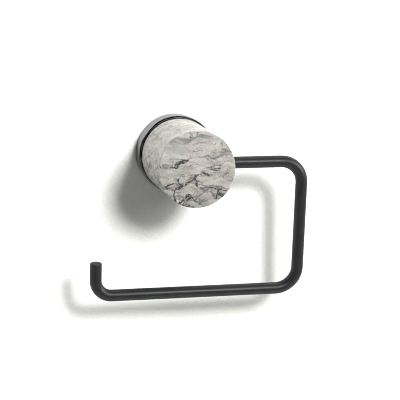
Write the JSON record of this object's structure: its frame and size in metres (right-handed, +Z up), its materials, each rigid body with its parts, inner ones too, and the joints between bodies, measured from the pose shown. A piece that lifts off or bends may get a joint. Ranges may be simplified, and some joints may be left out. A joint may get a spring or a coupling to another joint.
{
  "type": "wall-mounted roll holder",
  "caption": "Wall roll holder: a round flange carries a short marble post, and a bent black rod arm with an upturned tip pivots in the post's side.",
  "frame": {"origin": "centre of the wall bracket's back face, on the wall", "axes": "+Z up, +X to the right as a person facing the wall sees it, +Y into the wall; the post stands out along -Y"},
  "size_m": [0.148, 0.074, 0.1206],
  "materials": {
    "zinc_steel": "satin",
    "black_chrome": "polished",
    "black_oxide": "satin",
    "gloss_black": "gloss",
    "marble": "satin",
    "machined_aluminium": "satin",
    "acetal": "satin",
    "nitrile": "matte",
    "black_powder_coat": "satin"
  },
  "bodies": {
    "post": {"wall_bracket": "zinc_steel", "flange": "black_chrome", "flange_grub_screw": "black_oxide", "spacer_ring": "gloss_black", "marble_post": "marble", "post_core": "machined_aluminium", "centre_bolt": "black_oxide", "plain_washer": "zinc_steel", "spring_washer": "zinc_steel", "locating_pin": "zinc_steel", "arm_bush": "acetal", "arm_retaining_screw": "black_oxide"},
    "arm": {"arm": "black_powder_coat", "friction_ring": "nitrile"}
  },
  "joints": [
    {"name": "arm_pivot", "type": "hinge", "parent": "post", "child": "arm", "pos_m": [0.0255, -0.051, 0], "axis": [-1, 0, 0], "range_deg": [-26, 216]}
  ]
}
